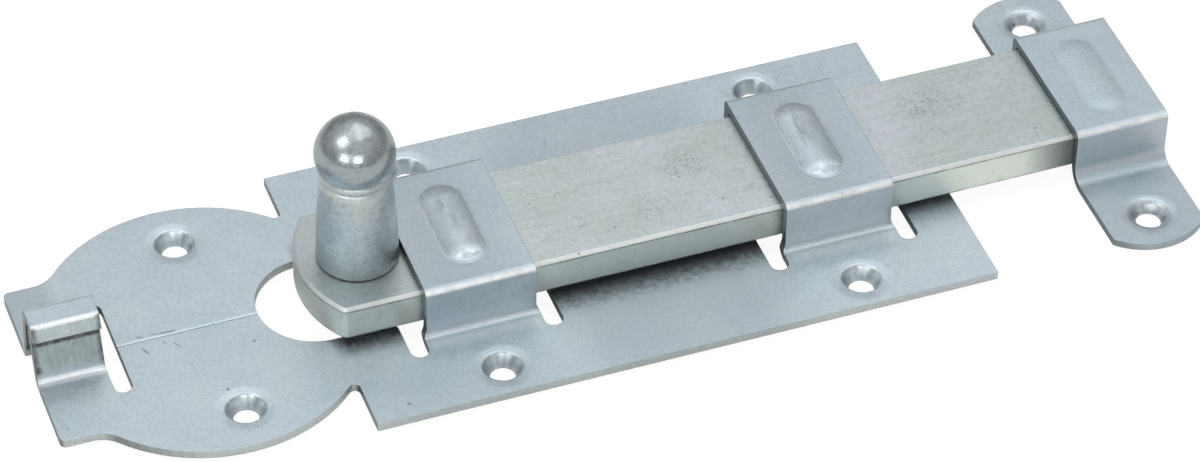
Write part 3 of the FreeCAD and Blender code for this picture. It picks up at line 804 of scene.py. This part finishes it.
def plate_detail(tree, look):
    """Edges, loop, guides, patches, painted shadow beside the bar, painted highlights and light at
    the bends and feet, and scratches of the base plate.
    """
    raw_edges(tree, look, top=PLATE_TOP, share=0.7)
    painted_shade_on_left_walls(tree, look, share=0.75)
    loop_tone_and_painted_light(tree, look)
    darker_guide_tops(tree, look)
    painted_shade_and_light_patches(tree, look)
    x, y, z = axes(tree)
    low = fading(tree, z, *SHEET_FACE_Z)
    flat = product(tree, low, spread(tree, facing(tree)[2], *SHEET_FACE_UP))
    tail_patches(tree, look, flat)
    painted_bar_shadow(tree, look, flat)
    painted_bend_highlights(tree, look, level=9.6)
    sides = absolute(tree, y)
    foot = spread(tree, z, *FOOT_BEND_Z)
    # painted light on the sheet in front of the guides' and the loop's feet
    for across, along, share in LIT_FOOT_BANDS:
        tint(tree, look, PAINTED_LIGHT_FOOT, within(tree, sides, *across), within(tree, x, *along),
             foot, share)
    for start, end, width in SCRATCHES:
        add_dirt(tree, look, scratch(tree, x, y, start, end, width), flat, SCRATCH_DIRT)


def bar_detail(tree, look):
    """Painted highlights on the edges, dark lines along the sides, greenish sides drawn lighter as
    painted light, painted shade at the end by the keeper, scuffs and a darker tip.
    """
    x, y, z = axes(tree)
    nz = facing(tree)[2]
    side = fading(tree, absolute(tree, nz), *BAR_UPRIGHT)
    # greenish sides, drawn lighter as painted light
    tint(tree, look, LIT_BAR_SIDE, side, spread(tree, z, *BAR_SIDE_Z))
    # painted highlight along the rounded edges
    tint(tree, look, BAR_EDGE_HIGHLIGHT, within(tree, nz, *BAR_EDGE_UP), BAR_EDGE_SHARE)
    lines = larger(tree, within(tree, z, *UPPER_LINE_Z), within(tree, z, *LOWER_LINE_Z))
    broken = patches(tree, placed(tree, BAR_STRETCH), SIDE_LINE_GAPS, *SIDE_LINE_GAP_SHARES)
    add_dirt(tree, look, lines, side, broken)
    # painted shade on the sides at the end by the keeper
    add_dirt(tree, look, spread(tree, x, *BAR_END_X), side, BAR_END_SHADE)
    chafed = patches(tree, placed(tree), CHAFING)
    top = spread(tree, nz, *BAR_TOP_UP)
    for along, across in BAR_SCUFFS:
        scuff = product(tree, within(tree, x, *along), within(tree, y, *across))
        add_dirt(tree, look, chafed, scuff, top, SCUFF_DIRT)
    tint(tree, look, BAR_TIP, spread(tree, x, *BAR_TIP_X))


def knob_detail(tree, look):
    """Darker soiled crown, a smoother ball, and a barrel drawn darker towards its foot."""
    z = axes(tree)[2]
    blots = patches(tree, placed(tree), CROWN_BLOTS)
    add_dirt(tree, look, spread(tree, z, *CROWN_Z), blots, CROWN_DIRT)
    ball = spread(tree, z, *BALL_Z)
    tint(tree, look, KNOB_BALL, ball, BALL_SHARE)
    smoother = spread(tree, ball, *BALL_SMOOTHNESS)
    look["shine"] = calculate(tree, "SUBTRACT", look["shine"], smoother)
    tint(tree, look, KNOB_FOOT, fading(tree, z, *BARREL_FOOT_Z), BARREL_FOOT_SHARE)
    turned = calculate(tree, "SINE", product(tree, z, TURNING_RATE))
    look["height"] = calculate(tree, "ADD", look["height"],
                               product(tree, turned, TURNING_RELIEF))


def dimple_detail(tree, look):
    """Painted reflections as dark and pale streaks round the cone, and the sheet dished towards
    the hole.
    """
    painted_shade_and_light_patches(tree, look)
    darker_keeper_foot(tree, look)
    plane = local_plane(tree)
    away = vector_maths(tree, "LENGTH", {0: plane}, "Value")
    streaks = noise(tree, vector_maths(tree, "NORMALIZE", {0: plane}), *CONE_STREAKS)
    cone = fading(tree, away, *CONE_REACH)
    tint(tree, look, CONE_DARK, cone, spread(tree, streaks, *CONE_DARK_STREAKS))
    tint(tree, look, CONE_PALE, cone, spread(tree, streaks, *CONE_PALE_STREAKS))
    eased = {"clamp": True, "interpolation_type": "SMOOTHSTEP"}
    look["dish"] = add_node(tree, "ShaderNodeMapRange", eased,
                            dict(enumerate((away, *DISH)))).outputs[0]


def bead_detail(tree, look):
    """Painted shade as a fine outline round a bead, a soiled stripe along it, painted shade on its
    rim, and a painted highlight in bright and dark facets at its near end.
    """
    x, y, _ = split(tree, local_plane(tree))
    beyond = calculate(tree, "SUBTRACT", absolute(tree, y), BEAD_STRAIGHT)
    inputs = {0: x, 1: larger(tree, 0.0, beyond)}
    around = add_node(tree, "ShaderNodeCombineXYZ", None, inputs)
    away = vector_maths(tree, "LENGTH", {0: around.outputs[0]}, "Value")
    broken = patches(tree, placed(tree), BEAD_GAPS, *BEAD_GAP_SHARES)
    # painted shade as a fine outline round the bead
    add_dirt(tree, look, within(tree, away, *BEAD_OUTLINE), broken)
    stripe = product(tree, within(tree, x, *STRIPE_ACROSS), within(tree, y, *STRIPE_ALONG))
    smear = patches(tree, placed(tree, SMEAR_STRETCH), BEAD_SMEAR)
    add_dirt(tree, look, stripe, smear, STRIPE_DIRT)
    # painted highlight at the near end, broken into bright and dark facets
    lit_end = product(tree, fading(tree, y, *BEAD_END_Y), fading(tree, away, *BEAD_END_REACH))
    facets = patches(tree, placed(tree), HIGHLIGHT_FACETS)
    tint(tree, look, BEAD_END_HIGHLIGHT, lit_end, facets, END_HIGHLIGHT_SHARE)
    between = calculate(tree, "SUBTRACT", 1.0, facets)
    tint(tree, look, DARK_PATCH_ZINC, lit_end, between, END_HIGHLIGHT_SHARE)
    rougher = product(tree, lit_end, END_HIGHLIGHT_ROUGHNESS)
    look["shine"] = calculate(tree, "ADD", look["shine"], rougher)
    # painted shade over the rim, where the bead meets the strap
    tint(tree, look, DARKER_ZINC, spread(tree, away, *BEAD_RIM))


def keeper_detail(tree, look):
    """Raw edges, painted shade on left-facing cut faces, painted highlights on the bends and
    painted light on the near wall of the keeper's sheet, and a darker near foot.
    """
    raw_edges(tree, look, top=KEEPER_TOP, share=0.15)
    painted_shade_on_left_walls(tree, look, share=0.8)
    painted_bend_highlights(tree, look, level=9.4)
    darker_keeper_foot(tree, look)


def arc_points(centre, radius, start, end, count):
    """Points along an arc of the turned outline, angles in degrees."""
    turns = [math.radians(start + (end - start) * i / count) for i in range(count + 1)]
    return [(centre[0] + radius * math.cos(a), centre[1] + radius * math.sin(a)) for a in turns]


def lay_flat_map(shape, x, y):
    """Map each face in plan about the middle of its bead or hole."""
    layer = shape.loops.layers.uv.get("flat") or shape.loops.layers.uv.new("flat")
    for face in shape.faces:
        for corner in face.loops:
            place = corner.vert.co
            corner[layer].uv = ((place.x / MM - x) / FLAT_SPAN + 0.5,
                                (place.y / MM - y) / FLAT_SPAN + 0.5)


def add_object(name, data):
    """Object in the scene, made from its data."""
    made = bpy.data.objects.new(name, data)
    bpy.context.scene.collection.objects.link(made)
    return made


def as_mesh(shape, name):
    """Mesh made from a bmesh, which is freed."""
    mesh = bpy.data.meshes.new(name)
    shape.to_mesh(mesh)
    shape.free()
    return mesh


def joined(shapes):
    """One bmesh from several."""
    whole = bmesh.new()
    for shape in shapes:
        mesh = as_mesh(shape, "part")
        whole.from_mesh(mesh)
        bpy.data.meshes.remove(mesh)
    return whole


def as_piece(shapes, name, material, body="fixed", crease=35):
    """Object riding on a body, made from closed shapes and smooth between hard edges."""
    shape = joined(shapes)
    bmesh.ops.recalc_face_normals(shape, faces=shape.faces)
    for face in shape.faces:
        face.smooth = True
    for edge in shape.edges:
        edge.smooth = len(edge.link_faces) == 2 and edge.calc_face_angle() < math.radians(crease)
    mesh = as_mesh(shape, name)
    mesh.materials.append(material)
    made = add_object(name, mesh)
    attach(made, body)
    return made


def spun_shape(outline, x, y, z, steps, merge, closed=False):
    """Shape made by turning an open or a closed outline once round an upright axis."""
    shape = bmesh.new()
    corners = [shape.verts.new(((x + r) * MM, y * MM, (z + h) * MM)) for r, h in outline]
    ends = corners[1:] + corners[:1] if closed else corners[1:]
    edges = [shape.edges.new(pair) for pair in zip(corners, ends)]
    bmesh.ops.spin(shape, geom=corners + edges, cent=(x * MM, y * MM, 0), axis=(0, 0, 1),
                   angle=math.tau, steps=steps, use_merge=True)
    bmesh.ops.remove_doubles(shape, verts=shape.verts, dist=merge)
    return shape


def dimple_skin(x, y, top, foot, rim):
    """Smooth ring that lines one screw hole: dished rim, rolled edge, cone and land."""
    lean = math.atan2(top - HOLE_LAND, HOLE_MOUTH - HOLE_RADIUS)
    run = rim / math.tan((math.pi - lean) / 2)
    bore = HOLE_RADIUS - SKIN_CLEAR
    line = [(DISH_RADIUS + 0.02, top - 0.10), (DISH_RADIUS, top + 0.015)]
    line += arc_points((HOLE_MOUTH + run, top - rim), rim + SKIN_CLEAR,
                       90, 90 + math.degrees(lean), ROLL_STEPS)
    line += [(bore, HOLE_LAND), (bore, foot + 0.02), (HOLE_RADIUS + 0.25, foot + 0.1),
             (HOLE_RADIUS + 0.35, HOLE_LAND), (HOLE_MOUTH + 0.2, top - 0.7),
             (DISH_RADIUS - 0.25, top - 0.3)]
    shape = spun_shape(line, x, y, 0, DIMPLE_STEPS, FINE_MERGE_DISTANCE, closed=True)
    lay_flat_map(shape, x, y)
    return shape


def bead_height_at(away, height, blend):
    """Height of a bead's face above the strap at one distance from its middle line."""
    total = (BEAD_HALF_WIDTH ** 2 + height ** 2) / (2 * height)
    crown = total - blend
    lean = math.atan2(BEAD_HALF_WIDTH, total - height)
    if away < crown * math.sin(lean):
        return height - total + blend + math.sqrt(crown ** 2 - away ** 2)
    if away < BEAD_HALF_WIDTH:
        return blend - math.sqrt(blend ** 2 - (BEAD_HALF_WIDTH - away) ** 2)
    return 0.0


def bead_skin(x, top, height, blend):
    """Smooth closed skin over a pressed bead, turned round each end and drawn between."""
    reach = BEAD_HALF_WIDTH + BEAD_LAP
    line = [(0.0, top - BEAD_SINK), (reach, top - BEAD_SINK)]
    for i in range(BEAD_RINGS, -1, -1):
        away = reach * i / BEAD_RINGS
        line.append((away, top + BEAD_LIFT + bead_height_at(away, height, blend)))
    shape = bmesh.new()
    corners = [shape.verts.new(((x + r) * MM, BEAD_STRAIGHT * MM, h * MM)) for r, h in line]
    profile = corners + [shape.edges.new(pair) for pair in zip(corners, corners[1:])]
    for end in (1, -1):
        centre = (x * MM, end * BEAD_STRAIGHT * MM, 0)
        turned = bmesh.ops.spin(shape, geom=profile, cent=centre, axis=(0, 0, 1),
                                angle=math.pi, steps=BEAD_STEPS)
        last = [part for part in turned["geom_last"] if isinstance(part, bmesh.types.BMEdge)]
        drawn = bmesh.ops.extrude_edge_only(shape, edges=last)["geom"]
        moved = [part for part in drawn if isinstance(part, bmesh.types.BMVert)]
        bmesh.ops.translate(shape, verts=moved, vec=(0, -2 * end * BEAD_STRAIGHT * MM, 0))
        profile = moved + [part for part in drawn if isinstance(part, bmesh.types.BMEdge)
                           and all(corner in moved for corner in part.verts)]
    bmesh.ops.remove_doubles(shape, verts=shape.verts, dist=MERGE_DISTANCE)
    lay_flat_map(shape, x, 0.0)
    return shape


def seam_burr(x0, x1):
    """Thin rounded burr that the shears left on the far edge of the butt seam."""
    shape = bmesh.new()
    start = Matrix.Translation((x0 * MM, BURR_Y * MM, (PLATE_TOP - BURR_SINK) * MM))
    bmesh.ops.create_circle(shape, cap_ends=True, segments=BURR_STEPS, radius=BURR_RADIUS * MM,
                            matrix=start @ Matrix.Rotation(math.pi / 2, 4, "Y"))
    drawn = bmesh.ops.extrude_face_region(shape, geom=list(shape.faces), use_keep_orig=True)
    moved = [part for part in drawn["geom"] if isinstance(part, bmesh.types.BMVert)]
    bmesh.ops.translate(shape, verts=moved, vec=((x1 - x0) * MM, 0, 0))
    return shape


class SLIDEBOLT_OT_base_plate(bpy.types.Operator):
    """Finish the folded base plate in rolled, plated sheet"""
    bl_idname = "slide_bolt.base_plate"
    bl_label = "Base plate"

    def execute(self, context):
        finish = context.scene.slide_bolt_finish
        finish_node("base_plate", zinc("plate_zinc", finish.plate_colour, SHEET_MARKS, finish,
                                       plate_detail))
        return {"FINISHED"}


class SLIDEBOLT_OT_plate_relief(bpy.types.Operator):
    """Line the plate's screw dimples, round its beads and edge its seam"""
    bl_idname = "slide_bolt.plate_relief"
    bl_label = "Plate relief"

    def execute(self, context):
        finish = context.scene.slide_bolt_finish
        skin = zinc("plate_dimple_zinc", finish.plate_colour, SKIN_MARKS, finish,
                    dimple_detail, rougher=-0.06)
        dimples = [dimple_skin(x, y, PLATE_TOP, foot=-1.1, rim=0.6) for x, y in PLATE_HOLES]
        as_piece(dimples, "plate_dimples", skin)
        skin = zinc("plate_bead_zinc", finish.plate_colour, SKIN_MARKS, finish,
                    bead_detail, rougher=-0.04)
        beads = [bead_skin(x, GUIDE_TOP, height=0.85, blend=1.6) for x in (-GUIDE_X, GUIDE_X)]
        as_piece(beads, "guide_beads", skin)
        # painted highlight: the burr is drawn a quarter brighter than the plate
        highlight_colour = [min(1, part * 1.25) for part in finish.plate_colour]
        skin = zinc("burr_highlight_zinc", highlight_colour, SKIN_MARKS, finish)
        burrs = [seam_burr(*run) for run in SEAM_RUNS]
        as_piece(burrs, "seam_burr", skin, crease=60)
        return {"FINISHED"}


class SLIDEBOLT_OT_bolt_bar(bpy.types.Operator):
    """Finish the sliding bar in drawn, plated flat"""
    bl_idname = "slide_bolt.bolt_bar"
    bl_label = "Bolt bar"

    def execute(self, context):
        finish = context.scene.slide_bolt_finish
        finish_node("bolt_bar", zinc("bar_zinc", finish.bar_colour, BAR_MARKS, finish,
                                     bar_detail, rougher=-0.02))
        return {"FINISHED"}


def knob_outline():
    """Radius and height of the knob's outline above the bar, in millimetres, foot to crown."""
    neck = math.sqrt(BALL_RADIUS ** 2 - BALL_FOOT ** 2)
    ball_start = math.degrees(math.atan2(-neck, BALL_FOOT))
    points = [(0, HEAD_FOOT), (HEAD_RADIUS, HEAD_FOOT)]
    points += arc_points((HEAD_RADIUS, HEAD_FOOT + HEAD_ROUNDING), HEAD_ROUNDING,
                         -90, 0, ROUNDING_STEPS)
    points += [(HEAD_RADIUS + HEAD_ROUNDING, HEAD_TOP), (SPIGOT_RADIUS, HEAD_TOP),
               (SPIGOT_RADIUS, 0.0), (BARREL_SEAT, 0.0)]
    points += arc_points((BARREL_FOOT_RADIUS - BARREL_START, BARREL_START), BARREL_START,
                         -90, 0, ROUNDING_STEPS)
    for i in range(1, BARREL_STEPS + 1):
        share = i / BARREL_STEPS
        height = BARREL_START + (BARREL_END - BARREL_START) * share
        bulge = BARREL_BULGE * math.sin(math.pi * share)
        points.append((BARREL_FOOT_RADIUS - BARREL_TAPER * share ** BARREL_CURVE + bulge, height))
    points += COLLAR
    points += arc_points((0, BALL_HEIGHT), BALL_RADIUS, ball_start, BALL_END, BALL_STEPS)
    points.append((0, BALL_HEIGHT + BALL_RADIUS))
    return points


class SLIDEBOLT_OT_knob(bpy.types.Operator):
    """Turn the knob and finish it"""
    bl_idname = "slide_bolt.knob"
    bl_label = "Knob"

    def execute(self, context):
        finish = context.scene.slide_bolt_finish
        low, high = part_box("knob")
        bar_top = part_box("bolt_bar")[1].z / MM
        shape = spun_shape(knob_outline(), (low.x + high.x) / 2 / MM, 0, bar_top, KNOB_STEPS,
                           MERGE_DISTANCE)
        material = zinc("knob_zinc", finish.knob_colour, KNOB_MARKS, finish,
                        knob_detail, rougher=-0.06)
        made = as_piece([shape], "turned_knob", material, "bolt")
        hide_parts("knob")
        return {"FINISHED"}


class SLIDEBOLT_OT_keeper(bpy.types.Operator):
    """Finish the keeper strap in plated sheet"""
    bl_idname = "slide_bolt.keeper"
    bl_label = "Keeper"

    def execute(self, context):
        finish = context.scene.slide_bolt_finish
        finish_node("keeper", zinc("keeper_zinc", finish.keeper_colour, KEEPER_MARKS, finish,
                                   keeper_detail, rougher=0.03))
        return {"FINISHED"}


class SLIDEBOLT_OT_keeper_relief(bpy.types.Operator):
    """Line the keeper's screw dimples and round its bead"""
    bl_idname = "slide_bolt.keeper_relief"
    bl_label = "Keeper relief"

    def execute(self, context):
        finish = context.scene.slide_bolt_finish
        skin = zinc("keeper_dimple_zinc", finish.keeper_colour, SKIN_MARKS, finish,
                    dimple_detail, rougher=-0.04)
        dimples = [dimple_skin(x, y, KEEPER_TOP, foot=-0.8, rim=1.5) for x, y in KEEPER_HOLES]
        as_piece(dimples, "keeper_dimples", skin)
        skin = zinc("keeper_bead_zinc", finish.keeper_colour, SKIN_MARKS, finish, rougher=0.10)
        bead = bead_skin(KEEPER_X, KEEPER_CROWN, height=0.4, blend=4.0)
        as_piece([bead], "keeper_bead", skin)
        return {"FINISHED"}


# Studio

def view_axes(azimuth, elevation, roll):
    """Right, up and back directions of the camera."""
    back = Vector((math.sin(azimuth) * math.cos(elevation),
                   -math.cos(azimuth) * math.cos(elevation), math.sin(elevation)))
    right = Vector((0, 0, 1)).cross(back).normalized()
    up = back.cross(right)
    cosine, sine = math.cos(roll), math.sin(roll)
    return cosine * right + sine * up, cosine * up - sine * right, back


def make_camera(studio, level):
    """Camera at the photograph's angle, level with the sheet's upper face."""
    right, up, back = view_axes(studio.azimuth, studio.elevation, studio.roll)
    place = studio.aim[0] * right + studio.aim[1] * up + studio.distance * back
    place += Vector((0, 0, level))
    camera = add_object("view", bpy.data.cameras.new("view"))
    turn = Matrix((right, up, back)).transposed()
    camera.matrix_world = Matrix.Translation(place) @ turn.to_4x4()
    camera.data.lens = studio.lens
    camera.data.sensor_width = SENSOR_WIDTH
    camera.data.clip_end = CAMERA_REACH
    bpy.context.scene.camera = camera


def soft_lamp(name, azimuth, elevation, distance, size, power):
    """White area lamp facing the part from one direction, angles in degrees."""
    back = view_axes(math.radians(azimuth), math.radians(elevation), 0)[2]
    lamp = bpy.data.lights.new(name, "AREA")
    lamp.shape = "RECTANGLE"
    lamp.size, lamp.size_y = size
    lamp.energy = power
    made = add_object(name, lamp)
    made.location = back * distance
    made.rotation_euler = back.to_track_quat("Z", "Y").to_euler()


def pale_world():
    """White to the camera, and a pale studio with a greyer horizon in reflections."""
    world = bpy.data.worlds.new("studio")
    tree = emptied(world)
    path = add_node(tree, "ShaderNodeLightPath")
    direction = add_node(tree, "ShaderNodeTexCoord").outputs["Generated"]
    height = split(tree, direction)[2]
    glow = spread(tree, height, 0.0, ZENITH_START, HORIZON_GLOW, ZENITH_GLOW)
    strength = blended(tree, path.outputs["Is Glossy Ray"], EVEN_LIGHT, glow)
    strength = blended(tree, path.outputs["Is Camera Ray"], strength, WHITE)
    made = add_node(tree, "ShaderNodeBackground", None, {"Color": strength, "Strength": 1.0})
    add_node(tree, "ShaderNodeOutputWorld", None, {"Surface": made.outputs[0]})
    bpy.context.scene.world = world


def floor_paper(colour):
    """Pale paper, white to the camera apart from a faint shadow of the part."""
    material = bpy.data.materials.new("floor_paper")
    tree = emptied(material)
    seen = add_node(tree, "ShaderNodeLightPath").outputs["Is Camera Ray"]
    paper = add_node(tree, "ShaderNodeBsdfDiffuse", None, {"Color": [*colour, 1]})
    darker = [part * FLOOR_SHADOW for part in colour]
    faint = add_node(tree, "ShaderNodeBsdfDiffuse", None, {"Color": [*darker, 1]})
    glow = add_node(tree, "ShaderNodeEmission", None, {"Color": WHITE, "Strength": FLOOR_WHITE})
    lit = add_node(tree, "ShaderNodeAddShader", None, {0: faint.outputs[0], 1: glow.outputs[0]})
    shader = add_node(tree, "ShaderNodeMixShader", None,
                      {0: seen, 1: paper.outputs[0], 2: lit.outputs[0]})
    add_node(tree, "ShaderNodeOutputMaterial", None, {"Surface": shader.outputs[0]})
    return material


def pale_floor(colour, level):
    """Wide pale floor under the part."""
    shape = bmesh.new()
    bmesh.ops.create_grid(shape, x_segments=2, y_segments=2, size=FLOOR_REACH)
    bmesh.ops.translate(shape, verts=shape.verts, vec=(0, 0, level))
    mesh = as_mesh(shape, "floor")
    floor = add_object("floor", mesh)
    mesh.materials.append(floor_paper(colour))


class SLIDEBOLT_OT_studio(bpy.types.Operator):
    """Set up the pale floor, the soft lamps and the camera"""
    bl_idname = "slide_bolt.studio"
    bl_label = "Studio"

    def execute(self, context):
        studio = context.scene.slide_bolt_studio
        make_camera(studio, PLATE_TOP * MM)
        pale_floor(studio.floor_colour, cad_box[0][2] - FLOOR_GAP * MM)
        pale_world()
        turn = math.degrees(studio.azimuth)
        powers = (studio.overhead, studio.left, studio.sides, studio.sides)
        for (name, beside, height, distance, size), power in zip(LAMPS, powers):
            soft_lamp(name, turn + beside, height, distance, size, power)
        context.scene.view_settings.view_transform = "Standard"
        return {"FINISHED"}


class SLIDEBOLT_PT_panel(bpy.types.Panel):
    """Slide bolt pieces and studio"""
    bl_label = "Slide Bolt"
    bl_idname = "SLIDEBOLT_PT_panel"
    bl_space_type = "VIEW_3D"
    bl_region_type = "UI"
    bl_category = "Slide Bolt"

    def draw(self, context):
        layout = self.layout
        for group in (context.scene.slide_bolt_finish, context.scene.slide_bolt_studio):
            column = layout.column()
            for name in group.__annotations__:
                column.prop(group, name)
        for operator in OPERATORS:
            layout.operator(operator.bl_idname)


OPERATORS = (SLIDEBOLT_OT_base_plate, SLIDEBOLT_OT_plate_relief, SLIDEBOLT_OT_bolt_bar,
             SLIDEBOLT_OT_knob, SLIDEBOLT_OT_keeper, SLIDEBOLT_OT_keeper_relief,
             SLIDEBOLT_OT_studio)
CLASSES = (SlideBoltFinish, SlideBoltStudio, *OPERATORS, SLIDEBOLT_PT_panel)


def register():
    for made in CLASSES:
        bpy.utils.register_class(made)
    bpy.types.Scene.slide_bolt_finish = PointerProperty(type=SlideBoltFinish)
    bpy.types.Scene.slide_bolt_studio = PointerProperty(type=SlideBoltStudio)


def unregister():
    del bpy.types.Scene.slide_bolt_studio
    del bpy.types.Scene.slide_bolt_finish
    for made in reversed(CLASSES):
        bpy.utils.unregister_class(made)


def main():
    """Register the add-on and make every piece."""
    register()
    bpy.ops.slide_bolt.base_plate()
    bpy.ops.slide_bolt.plate_relief()
    bpy.ops.slide_bolt.bolt_bar()
    bpy.ops.slide_bolt.knob()
    bpy.ops.slide_bolt.keeper()
    bpy.ops.slide_bolt.keeper_relief()
    bpy.ops.slide_bolt.studio()


if __name__ == "__main__":
    main()
